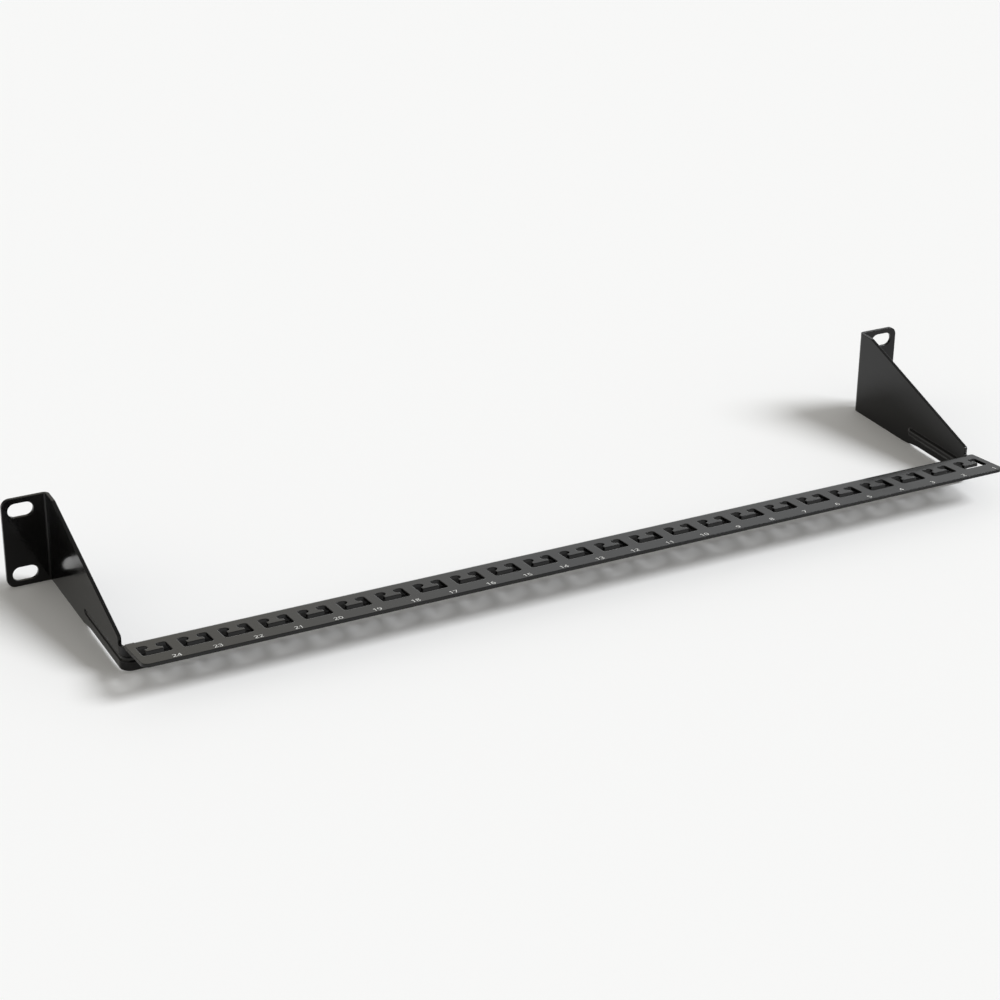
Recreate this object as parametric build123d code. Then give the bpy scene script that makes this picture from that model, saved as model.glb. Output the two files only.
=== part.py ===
from build123d import *
import math
import os

# Rack cable bracket: ears, arms, web and tie bar folded from one steel sheet.
# Millimetres, +Z up. X runs across the rack, and the bar stands out along -Y.
# The origin is the middle of the four ear slots, on the ears' face toward the bar.

# Sheet
sheet = 1.6

# Ears, on the rack's hole spacing
ear_span = 482.6
ear_height = 43.66
ear_width = 20.55         # from the arm's outer face to the free edge
ear_corner = 4.0
ear_bend = 1.0            # inside radius of the fold between ear and arm
slot_inset = 8.75         # slots' middle, from the ear's free edge
slot_drop = 5.955         # slots' middle, from the ear's top and bottom edges
ear_slot_length = 12.0
ear_slot_width = 7.0

# Arms, measured forward from the ears' face
arm_reach = 98.4          # to the web's front face
arm_level = 9.4           # full-height run beside the ear
arm_tip_height = 16.4     # front end of the sloped edge, above the ears' lower edge
arm_tip_round = 1.0
corner_bend = 5.0         # outside radius of the fold between arm and web
corner_height = 12.6      # top of that fold, above the ears' lower edge

# Stiffening bead round the front of the arms and along the web, pressed inward
bead_width = 3.0
bead_depth = 1.0
bead_rise = 5.4           # bead's middle, above the lower edge under it
bead_back = 49.0          # bead's rear ends, forward of the ears' face
edge_draw = 1.5           # lower edge drawn up by the pressing
draw_back = 41.0          # start and end of that rise, forward of the ears' face
draw_front = 58.0

# Bar plate, measured along its slope from the web's front face
bar_inset = 0.75          # bar's ends, inside the arms' outer faces
bar_depth = 25.2
bar_height = 14.9         # top face at the web, above the ears' lower edge
bar_tilt = 6.4            # degrees, rising to the front
bar_bend = 3.0            # outside radius of the fold between web and bar
bar_front_round = 3.5
bar_back_round = 1.2
bar_end_back = 1.0        # bar's free ends reach this far back beside its fold
bar_slit = 0.5            # relief slits between the fold and those ends
bar_relief = 0.5          # the slits' depth forward of the fold
bend_relief = 1.0         # between the bar's fold and the corner folds

# Tie cut-outs, each leaving a tab with a narrow neck and a wide head
way_count = 24
row_inset = 9.78          # first cut-out's middle, from the bar's end
cutout_back = 5.85        # cut-outs' back edge, forward of the web
hook_gap = 4.1            # cut beside the neck, along the slope
head_length = 2.15
tie_gap = 4.3             # cut in front of the head
side_gap = 2.75           # cut beside the head
neck_width = 3.9
head_width = 7.8
cutout_round = 1.3
hook_round = 1.9          # both corners of a hook's inner end
hook_land = 0.1           # least straight edge beside a hook's round

# Spans, levels and places worked out from the sizes above
arm_span = ear_span - 2 * ear_width
slot_span = ear_span - 2 * slot_inset
slot_rise = ear_height - 2 * slot_drop
bar_length = arm_span - 2 * bar_inset
way_pitch = (bar_length - 2 * row_inset) / (way_count - 1)
half_ear = ear_height / 2
foot_z = -half_ear
front_foot_z = foot_z + edge_draw
bead_z = front_foot_z + bead_rise
arm_x = arm_span / 2
web_y = -arm_reach
bar_z = foot_z + bar_height
tilt = math.radians(bar_tilt)
bar_normal = (0, math.sin(tilt), math.cos(tilt))
bar_plane = Plane(origin=(0, web_y, bar_z), x_dir=(1, 0, 0), z_dir=bar_normal)
bar_fold_half = arm_x - corner_bend - bend_relief
fold_drop = bar_bend / math.cos(tilt) - (bar_bend - sheet) * math.tan(tilt)
fold_axis = Vector(0, web_y + sheet - bar_bend, bar_z - fold_drop)
fold_seat = -bar_plane.to_local_coords(fold_axis).Y


def sheet_run(inset):
    """Plan line of one face of the strip, inset from its outer face."""
    points = [
        (-ear_span / 2, inset),
        (-arm_x + inset, inset),
        (-arm_x + inset, web_y + inset),
        (arm_x - inset, web_y + inset),
        (arm_x - inset, inset),
        (ear_span / 2, inset),
    ]
    ear_fold = ear_bend + inset
    corner_fold = corner_bend - inset
    return FilletPolyline(*points, radius=[ear_fold, corner_fold, corner_fold, ear_fold])


def strip():
    """Ear, arm, web, arm and ear, still as tall as the ears all the way."""
    outer = sheet_run(0)
    inner = sheet_run(sheet)
    ends = Line(outer @ 0, inner @ 0) + Line(outer @ 1, inner @ 1)
    plan = make_face(outer.edges() + inner.edges() + ends.edges())
    return extrude(plan, half_ear, both=True)


def side_outline():
    """Side view of ear, arm and web, with the sloped top and the drawn-up lower edge."""
    tip_y = web_y + corner_bend
    tip_z = foot_z + arm_tip_height
    corner_z = foot_z + corner_height
    draw_pull = (draw_front - draw_back) / 2
    back = (sheet, foot_z)
    low_start = (-draw_back, foot_z)
    low_end = (-draw_front, front_foot_z)
    upper = Polyline(
        low_end,
        (web_y, front_foot_z),
        (web_y, corner_z),
        (tip_y, corner_z),
        (tip_y, tip_z),
        (-arm_level, half_ear),
        (sheet, half_ear),
        back,
        low_start,
    )
    drawn = Bezier(
        low_start,
        (-draw_back - draw_pull, foot_z),
        (-draw_front + draw_pull, front_foot_z),
        low_end,
    )
    face = make_face(upper.edges() + drawn.edges())
    tip = face.vertices().sort_by_distance((tip_y, tip_z))[0]
    return fillet(tip, arm_tip_round)


def trimmed_strip():
    """Strip cut to its side outline, with round ear corners and room for the bar's fold."""
    side = extrude(Plane.YZ * side_outline(), ear_span, both=True)
    front_view = Plane.XZ * RectangleRounded(ear_span, ear_height, ear_corner)
    corners = extrude(front_view, 2 * arm_reach, both=True)
    above_web = Pos(0, web_y, fold_axis.Z) * Box(
        2 * bar_fold_half,
        4 * sheet,
        ear_height,
        align=(Align.CENTER, Align.CENTER, Align.MIN),
    )
    return (strip() & side & corners) - above_web


def bead_tube(radius):
    """Round tube along the bead's line, with ball ends."""
    chord = bead_width / 2
    groove = (chord**2 + bead_depth**2) / (2 * bead_depth)
    stand_off = groove - bead_depth
    x = arm_x + stand_off
    y = web_y - stand_off
    points = [(-x, -bead_back), (-x, y), (x, y), (x, -bead_back)]
    turn = corner_bend + stand_off
    line = Pos(0, 0, bead_z) * FilletPolyline(*points, radius=[turn, turn])
    section = Plane(line @ 0, z_dir=line % 0) * Circle(groove + radius)
    tube = sweep(section, path=line)
    for end in (line @ 0, line @ 1):
        tube += Pos(*end) * Sphere(groove + radius)
    return tube


def beaded_strip():
    """Strip with the bead: a groove outside, and a ridge of the same sheet inside."""
    inner_room = Pos(0, web_y + sheet / 2, 0) * Box(
        arm_span - sheet,
        2 * arm_reach,
        ear_height,
        align=(Align.CENTER, Align.MIN, Align.CENTER),
    )
    upright = inner_room.edges().filter_by(Axis.Z).group_by(Axis.Y)[0]
    inner_room = fillet(upright, corner_bend - sheet / 2)
    ridge = bead_tube(sheet) & inner_room
    return trimmed_strip() + ridge - bead_tube(0)


def bar_fold():
    """Fold that carries the bar plate on the web's top."""
    axis = (fold_axis.Y, fold_axis.Z)
    turn = 90 - bar_tilt
    outer = CenterArc(axis, bar_bend, 0, turn)
    inner = CenterArc(axis, bar_bend - sheet, 0, turn)
    ends = Line(outer @ 0, inner @ 0) + Line(outer @ 1, inner @ 1)
    profile = make_face(outer.edges() + inner.edges() + ends.edges())
    return extrude(Plane.YZ * profile, bar_fold_half, both=True)


def tie_cutout():
    """One cut-out, drawn round its tab with the back edge on the sketch's origin."""
    neck_x = neck_width / 2
    head_x = head_width / 2
    side_x = head_x + side_gap
    tab_y = -hook_gap - head_length
    front_y = tab_y - tie_gap
    hook_fit = min(hook_round, head_x - neck_x - hook_land, (hook_gap - hook_land) / 2)
    right_half = [
        (head_x, tab_y),
        (head_x, -hook_gap),
        (neck_x, -hook_gap),
        (neck_x, 0),
        (side_x, 0),
        (side_x, front_y),
    ]
    left_half = [(-x, y) for x, y in reversed(right_half)]
    rounds = [0, 0, hook_fit, hook_fit, cutout_round, cutout_round]
    outline = FilletPolyline(*right_half, *left_half, radius=rounds + rounds[::-1], close=True)
    return make_face(outline)


def bar_plate():
    """Sloping plate with its row of tie cut-outs."""
    free_back = fold_seat - bar_end_back
    depth = bar_depth - free_back
    plate = Pos(0, -free_back - depth / 2) * Rectangle(bar_length, depth)
    plate = fillet(plate.vertices().group_by(Axis.Y)[0], bar_front_round)
    plate = fillet(plate.vertices().group_by(Axis.Y)[-1], bar_back_round)
    fold_room = 2 * (bar_end_back + bar_relief)
    plate -= Pos(0, -free_back) * Rectangle(2 * (bar_fold_half + bar_slit), fold_room)
    plate += Pos(0, -fold_seat - bar_relief) * Rectangle(2 * bar_fold_half, 2 * bar_relief)
    row = Pos(0, -cutout_back) * GridLocations(way_pitch, 0, way_count, 1)
    plate -= row * tie_cutout()
    return extrude(bar_plane * plate, -sheet)


def ear_slots():
    """Cutters for the four slots that take the rack's screws."""
    slot = SlotOverall(ear_slot_length, ear_slot_width)
    slots = Sketch() + GridLocations(slot_span, slot_rise, 2, 2) * slot
    return extrude(Plane.XZ * slots, 4 * sheet, both=True)


bracket = beaded_strip() + bar_fold() + bar_plate() - ear_slots()

os.makedirs("parts", exist_ok=True)
export_step(bracket, "parts/bracket.step")
print("bracket volume", round(bracket.volume), "mm3")
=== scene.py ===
# %% [markdown]
# # A rack cable bracket in black paint
# The bracket is one steel sheet: slotted ears, tapered arms and a long bar with cut-outs for
# cable ties. The shape comes ready made from the CAD model, which is loaded as a fixed frame.
# This lesson gives it paint, prints the numbers on the bar, and sets up the studio and camera.
# The box of the untouched model is kept.

# %% Load the bracket
import math

import bpy
from mathutils import Matrix, Vector


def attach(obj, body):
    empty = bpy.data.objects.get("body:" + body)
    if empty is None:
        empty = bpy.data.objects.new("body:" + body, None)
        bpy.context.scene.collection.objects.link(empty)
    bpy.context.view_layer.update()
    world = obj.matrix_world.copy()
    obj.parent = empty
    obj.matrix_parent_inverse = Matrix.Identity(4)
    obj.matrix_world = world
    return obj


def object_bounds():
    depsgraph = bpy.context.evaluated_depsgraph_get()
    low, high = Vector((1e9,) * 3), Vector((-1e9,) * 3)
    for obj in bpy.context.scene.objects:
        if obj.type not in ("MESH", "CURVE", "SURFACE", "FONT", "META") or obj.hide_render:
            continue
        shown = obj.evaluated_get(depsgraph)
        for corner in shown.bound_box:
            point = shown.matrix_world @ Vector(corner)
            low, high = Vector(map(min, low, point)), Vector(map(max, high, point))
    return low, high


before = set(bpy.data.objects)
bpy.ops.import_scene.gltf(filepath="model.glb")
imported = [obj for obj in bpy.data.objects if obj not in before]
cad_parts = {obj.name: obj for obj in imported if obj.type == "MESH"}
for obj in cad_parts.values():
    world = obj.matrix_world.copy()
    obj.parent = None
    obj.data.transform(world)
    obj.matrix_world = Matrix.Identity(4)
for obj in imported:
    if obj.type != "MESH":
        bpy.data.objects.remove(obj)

cad_box = [list(corner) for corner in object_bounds()]
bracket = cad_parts["bracket"]
MM = 0.001
print("bracket box, mm:", [[round(v / MM, 1) for v in corner] for corner in cad_box])

# %% [markdown]
# ## Writing shaders as formulas
# A material is a graph of nodes. Placing each node by hand hides what the graph means, so one
# small class stands for a socket and lets Python's own operators add the Math nodes.
# Every other node comes from its `make` method: settings first, then values or links.
# Three kinds of node are wanted often, so they have a short name of their own.


# %% A socket that takes part in formulas
class Wire:
    """One output socket of a node tree, ready to be used in a formula."""

    def __init__(self, tree, socket=None):
        self.tree = tree
        self.socket = socket

    def feed(self, socket):
        """Links this wire to an input socket."""
        self.tree.links.new(self.socket, socket)

    def make(self, kind, values=(), output=0, **settings):
        """Adds a node, applies its settings, then fills its sockets with values or links."""
        node = self.tree.nodes.new(kind)
        for name, setting in settings.items():
            setattr(node, name, setting)
        for key, value in dict(values).items():
            if isinstance(value, Wire):
                value.feed(node.inputs[key])
            else:
                node.inputs[key].default_value = value
        return Wire(self.tree, node.outputs[output])

    def maths(self, operation, *values):
        return self.make("ShaderNodeMath", enumerate(values), operation=operation)

    def __add__(self, other):
        return self.maths("ADD", self, other)

    def __sub__(self, other):
        return self.maths("SUBTRACT", self, other)

    def __rsub__(self, other):
        return self.maths("SUBTRACT", other, self)

    def __mul__(self, other):
        return self.maths("MULTIPLY", self, other)

    __radd__ = __add__
    __rmul__ = __mul__

    def ramp(self, low, high):
        """Smooth step from 0 to 1 while the value goes from low to high."""
        values = {"Value": self, "From Min": low, "From Max": high}
        return self.make("ShaderNodeMapRange", values, interpolation_type="SMOOTHSTEP")

    def colour(self, low, high):
        """Mixes two colours, or colour wires, with this value as the share of the second."""
        return self.make("ShaderNodeMix", {0: self, 6: low, 7: high}, output=2, data_type="RGBA")

    def noise(self, per_metre, detail, grain=0.5):
        """Cloudy noise over this place, where grain is the share of the finer detail."""
        values = {"Vector": self, "Scale": per_metre, "Detail": detail, "Roughness": grain}
        return self.make("ShaderNodeTexNoise", values, output="Fac")


def rgb(red, green, blue):
    """A colour as a socket holds it."""
    return (red, green, blue, 1.0)


def new_material(name):
    """A material, its shader's input sockets, and a wire to start its formulas from."""
    material = bpy.data.materials.new(name)
    material.use_nodes = True
    tree = material.node_tree
    return material, tree.nodes["Principled BSDF"].inputs, Wire(tree)


print("Wire class ready")

# %% [markdown]
# ## Black paint
# The sheet is sprayed black and baked. The film is smooth and glossy, but not a mirror: it has
# the faint ripple of a sprayed coat, and handling has left soft smudges that dull it in patches.
# The cut edges are a little round under the paint, and this is what catches the light along
# them. A Bevel node rounds the normals there, so the CAD mesh stays as it is.

# %% Paint for the sheet
PAINT_INDEX = 1.38               # low, so that faces seen square on stay black
CLEAN_BLACK = rgb(0.0022, 0.0022, 0.0024)
DULL_BLACK = rgb(0.0045, 0.0042, 0.004)
CLEAN_ROUGHNESS = 0.10
SMUDGE_ROUGHNESS = 0.10          # added where a smudge is at its fullest
SMUDGES_PER_M = 26
SMUDGE_DETAIL = 4.0
SMUDGE_GRAIN = 0.55
SMUDGE_RANGE = (0.42, 0.68)      # noise levels at a smudge's rim and at its fullest
RIPPLES_PER_M = 900
RIPPLE_DETAIL = 1.0
RIPPLE_HEIGHT = 0.05 * MM
RIPPLE_STRENGTH = 0.4
EDGE_ROUND = 0.55 * MM
EDGE_SAMPLES = 6


def black_paint():
    material, inputs, start = new_material("black_paint")
    place = start.make("ShaderNodeTexCoord", output="Object")
    dull = place.noise(SMUDGES_PER_M, SMUDGE_DETAIL, SMUDGE_GRAIN).ramp(*SMUDGE_RANGE)
    rounded = start.make("ShaderNodeBevel", {"Radius": EDGE_ROUND}, samples=EDGE_SAMPLES)
    skin = start.make(
        "ShaderNodeBump",
        {
            "Strength": RIPPLE_STRENGTH,
            "Distance": RIPPLE_HEIGHT,
            "Height": place.noise(RIPPLES_PER_M, RIPPLE_DETAIL),
            "Normal": rounded,
        },
    )
    roughness = CLEAN_ROUGHNESS + SMUDGE_ROUGHNESS * dull
    inputs["IOR"].default_value = PAINT_INDEX
    dull.colour(CLEAN_BLACK, DULL_BLACK).feed(inputs["Base Color"])
    roughness.feed(inputs["Roughness"])
    skin.feed(inputs["Normal"])
    return material


paint = black_paint()
for material_slot in bracket.material_slots:
    material_slot.material = paint
print("paint on", len(bracket.material_slots), "slot(s),", len(paint.node_tree.nodes), "nodes")

# %% [markdown]
# ## White ink
# Each cut-out has its number printed in white on the bar's front strip. The ink is a thin matt
# film that covers a little unevenly, so its white goes greyer and rougher in small patches.
# A fine noise gives those patches, much smaller than a figure.

# %% Ink for the numbers
THIN_INK = rgb(0.62, 0.62, 0.6)
FULL_INK = rgb(0.86, 0.86, 0.84)
THIN_ROUGHNESS = 0.6
INK_SMOOTHING = 0.15             # roughness that full cover takes away
INK_PATCHES_PER_M = 2200
INK_DETAIL = 2.0
COVER_RANGE = (0.3, 0.55)        # noise levels where the cover is thin and where it is full


def white_ink():
    material, inputs, start = new_material("white_ink")
    place = start.make("ShaderNodeTexCoord", output="Object")
    cover = place.noise(INK_PATCHES_PER_M, INK_DETAIL).ramp(*COVER_RANGE)
    roughness = THIN_ROUGHNESS - INK_SMOOTHING * cover
    cover.colour(THIN_INK, FULL_INK).feed(inputs["Base Color"])
    roughness.feed(inputs["Roughness"])
    return material


ink = white_ink()
print("ink has", len(ink.node_tree.nodes), "nodes")

# %% [markdown]
# ## A tree that writes a row of numbers
# The numbers count down from the left, one for each cut-out, so the row follows a rule and a
# Geometry Nodes tree can write it. A Repeat zone turns each count into text, fills the outlines
# and sets them one pitch further along.
# Blender's own letters draw a 1 as a bare bar. Its sans-serif maths digits have a 1 with a flag,
# as on the real print, so each figure is swapped for the one in that set.

# %% The tree that writes a row of numbers
SANS_NOUGHT = 0x1D7E2     # place of the sans-serif 0 among the characters, with 1 to 9 after it
ROW_INPUTS = {"Count": "Int", "Pitch": "Float", "Size": "Float", "Ink": "Material"}


def number_row_tree():
    tree = bpy.data.node_groups.new("number_row", "GeometryNodeTree")
    for name, kind in ROW_INPUTS.items():
        tree.interface.new_socket(name, in_out="INPUT", socket_type="NodeSocket" + kind)
    tree.interface.new_socket("Numbers", in_out="OUTPUT", socket_type="NodeSocketGeometry")
    start = Wire(tree)
    count, pitch, size, coat = [start.make("NodeGroupInput", output=name) for name in ROW_INPUTS]
    first = tree.nodes.new("GeometryNodeRepeatInput")
    last = tree.nodes.new("GeometryNodeRepeatOutput")
    first.pair_with_output(last)
    count.feed(first.inputs["Iterations"])
    step = Wire(tree, first.outputs["Iteration"])
    row_so_far = Wire(tree, first.outputs["Geometry"])

    text = start.make("FunctionNodeValueToString", {"Value": count - step})
    for figure in range(10):
        swap = {"String": text, "Find": str(figure), "Replace": chr(SANS_NOUGHT + figure)}
        text = start.make("FunctionNodeReplaceString", swap)
    outlines = start.make(
        "GeometryNodeStringToCurves",
        {"String": text, "Size": size},
        align_x="CENTER",
        align_y="MIDDLE",
    )
    filled = start.make("GeometryNodeFillCurve", {"Curve": outlines})
    along = start.make("ShaderNodeCombineXYZ", {"X": step * pitch})
    placed = start.make("GeometryNodeTransform", {"Geometry": filled, "Translation": along})
    joined = start.make("GeometryNodeJoinGeometry", {"Geometry": placed})
    row_so_far.feed(joined.socket.node.inputs["Geometry"])
    joined.feed(last.inputs["Geometry"])

    row = Wire(tree, last.outputs["Geometry"])
    real = start.make("GeometryNodeRealizeInstances", {"Geometry": row})
    inked = start.make("GeometryNodeSetMaterial", {"Geometry": real, "Material": coat})
    inked.feed(tree.nodes.new("NodeGroupOutput").inputs["Numbers"])
    return tree


row_tree = number_row_tree()
print("number tree has", len(row_tree.nodes), "nodes")

# %% [markdown]
# ## Numbers on the bar
# The tree runs on an empty object, and its result is kept as a plain mesh, because a finished
# piece carries no tree. The row comes out flat on the ground plane. It is tilted onto the bar's
# slope and moved so that each number stands to the right of its cut-out, a hair above the paint.

# %% Numbers set on the bar
WAYS = 24
PITCH = 18.28 * MM
DIGIT_SIZE = 3.8 * MM
BAR_BACK = Vector((0.0, -98.4 * MM, -6.93 * MM))   # bar's top, over the web's front face
BAR_TILT = math.radians(6.4)
NUMBER_SIDE = 5.95 * MM       # right of its cut-out's middle
NUMBER_FRONT = 22.85 * MM     # along the slope from the web
INK_THICKNESS = 0.03 * MM


def grown(tree, values):
    """Runs a geometry tree on an empty object and returns its result as a plain mesh."""
    holder = bpy.data.objects.new("holder", bpy.data.meshes.new("holder"))
    bpy.context.scene.collection.objects.link(holder)
    modifier = holder.modifiers.new("tree", "NODES")
    modifier.node_group = tree
    for item in tree.interface.items_tree:
        if item.in_out == "INPUT":
            modifier[item.identifier] = values[item.name]
    depsgraph = bpy.context.evaluated_depsgraph_get()
    mesh = bpy.data.meshes.new_from_object(holder.evaluated_get(depsgraph))
    holder.modifiers.remove(modifier)
    bpy.data.objects.remove(holder)
    return mesh


number_mesh = grown(row_tree, {"Count": WAYS, "Pitch": PITCH, "Size": DIGIT_SIZE, "Ink": ink})
heights = [vertex.co.y for vertex in number_mesh.vertices]
print("digit height, mm:", round((max(heights) - min(heights)) / MM, 2))
row_start = NUMBER_SIDE - PITCH * (WAYS - 1) / 2
on_bar = (
    Matrix.Translation(BAR_BACK)
    @ Matrix.Rotation(-BAR_TILT, 4, "X")
    @ Matrix.Translation((row_start, -NUMBER_FRONT, INK_THICKNESS))
)
number_mesh.transform(on_bar)
numbers = bpy.data.objects.new("numbers", number_mesh)
bpy.context.scene.collection.objects.link(numbers)
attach(numbers, "root")
print("numbers:", len(number_mesh.polygons), "faces")

# %% [markdown]
# ## Floor
# The bracket lies on a wide pale floor that takes its soft shadow. Gloss paint mirrors the floor,
# so its tone matters twice: once in the picture's background, and once in the paint.
# The floor itself is dull, so that it mirrors nothing back.

# %% A pale floor
FLOOR_HALF = 12.0
FLOOR_GAP = 0.05 * MM            # below the ears, so that no two faces share a place
FLOOR_COLOUR = rgb(0.94, 0.94, 0.94)
FLOOR_ROUGHNESS = 0.9
floor_z = cad_box[0][2] - FLOOR_GAP
signs = ((-1, -1), (1, -1), (1, 1), (-1, 1))
corners = [(x * FLOOR_HALF, y * FLOOR_HALF, floor_z) for x, y in signs]
floor_mesh = bpy.data.meshes.new("floor")
floor_mesh.from_pydata(corners, [], [(0, 1, 2, 3)])
floor = bpy.data.objects.new("floor", floor_mesh)
bpy.context.scene.collection.objects.link(floor)
pale, pale_inputs, _ = new_material("pale_floor")
pale_inputs["Base Color"].default_value = FLOOR_COLOUR
pale_inputs["Roughness"].default_value = FLOOR_ROUGHNESS
pale_inputs["Specular IOR Level"].default_value = 0.0
floor_mesh.materials.append(pale)
print("floor at", round(floor_z / MM, 2), "mm")

# %% [markdown]
# ## Soft room light
# Light comes from all round, stronger at eye level than overhead. The bar's top mirrors the wall
# behind it, and the tops of the arms mirror the ceiling, so the two levels set how grey the gloss
# looks on each. The wall goes from a warm white on the left to a cool one on the right, as in a
# room with a lamp at one side and a window at the other.
# On gloss paint a round form shows by what it mirrors. A dim patch high on the wall, behind on the
# left, is what the bead's curves mirror, so that they stand out from the flat of the arms.

# %% Walls and ceiling as the world
WARM_WALL = rgb(0.765, 0.74, 0.665)
COOL_WALL = rgb(0.755, 0.765, 0.765)
WALL_BLEND = (0.22, 0.45)        # to the right, from the warm wall to the cool one
CEILING = rgb(0.325, 0.32, 0.31)
CEILING_BLEND = (0.35, 0.8)      # upward, from the wall to the ceiling
DIM_PATCH = rgb(0.15, 0.145, 0.135)
PATCH_TOWARD = Vector((-0.45, 0.85, 0.25)).normalized()
PATCH_BLEND = (0.8, 0.92)        # nearness to that direction, from the patch's rim inward
PATCH_FOOT = (0.08, 0.2)         # upward, so that the wall stays pale near the floor


def studio_world():
    world = bpy.data.worlds.new("studio")
    world.use_nodes = True
    start = Wire(world.node_tree)
    toward = start.make("ShaderNodeTexCoord", output="Generated")
    side = start.make("ShaderNodeSeparateXYZ", {0: toward}, output="X")
    height = start.make("ShaderNodeSeparateXYZ", {0: toward}, output="Z")
    nearness = start.make(
        "ShaderNodeVectorMath",
        {0: toward, 1: PATCH_TOWARD},
        output="Value",
        operation="DOT_PRODUCT",
    )
    wall = side.ramp(*WALL_BLEND).colour(WARM_WALL, COOL_WALL)
    bright = height.ramp(*CEILING_BLEND).colour(wall, CEILING)
    dim = nearness.ramp(*PATCH_BLEND) * height.ramp(*PATCH_FOOT)
    dim.colour(bright, DIM_PATCH).feed(world.node_tree.nodes["Background"].inputs["Color"])
    return world


bpy.context.scene.world = studio_world()
print("world has", len(bpy.context.scene.world.node_tree.nodes), "nodes")

# %% [markdown]
# ## Lamp
# One wide lamp stands far off at the front right, so the soft shadow falls behind and to the left.
# The arms' left faces then mirror a floor in shade, which keeps the paint black on a pale floor.
# A Sun lamp with a wide disc gives that softness, and lights the whole floor evenly. It is a little
# cool, as daylight is, and the room a little warm, so that together they light a white as white.
# The Standard view shows each colour as it is written, with no film look laid over it.

# %% Lamp at the front right
LAMP_STRENGTH = 2.7
LAMP_COLOUR = (0.965, 0.98, 1.0)
LAMP_DISC = math.radians(29)
LAMP_SIDE = math.radians(65)     # round to the right from the front
LAMP_HEIGHT = math.radians(42)
lamp_data = bpy.data.lights.new("front_lamp", "SUN")
lamp_data.energy = LAMP_STRENGTH
lamp_data.color = LAMP_COLOUR
lamp_data.angle = LAMP_DISC
lamp = bpy.data.objects.new("front_lamp", lamp_data)
lamp.rotation_euler = (math.pi / 2 - LAMP_HEIGHT, 0.0, LAMP_SIDE)
bpy.context.scene.collection.objects.link(lamp)
bpy.context.scene.view_settings.view_transform = "Standard"
print("light on the level floor:", round(LAMP_STRENGTH * math.sin(LAMP_HEIGHT), 2))

# %% [markdown]
# ## Camera
# The camera stands in front of the bar's left end and looks down along it. Its place, turn and
# lens were fitted so that the model's slots, edges and cut-outs fall where the photograph has them.

# %% Camera at the photograph's viewpoint
EYE = Vector((-494.31, -975.29, 497.78)) * MM
TURN = math.radians(27.267)      # to the right of straight ahead
DOWN = math.radians(25.691)
ROLL = math.radians(0.545)
LENS = 88.512                    # millimetres, as is the sensor
SENSOR_WIDTH = 36.0
camera_data = bpy.data.cameras.new("camera")
camera_data.sensor_width = SENSOR_WIDTH
camera_data.lens = LENS
camera = bpy.data.objects.new("camera", camera_data)
camera.matrix_world = (
    Matrix.Translation(EYE)
    @ Matrix.Rotation(-TURN, 4, "Z")
    @ Matrix.Rotation(math.pi / 2 - DOWN, 4, "X")
    @ Matrix.Rotation(ROLL, 4, "Z")
)
bpy.context.scene.collection.objects.link(camera)
bpy.context.scene.camera = camera
view_width = 2 * math.degrees(math.atan(SENSOR_WIDTH / 2 / LENS))
print("camera takes in", round(view_width, 1), "degrees")

# %% [markdown]
# The dressed bracket must fill the same box as the bare model.

# %% Update the scene and finish
bpy.context.view_layer.update()
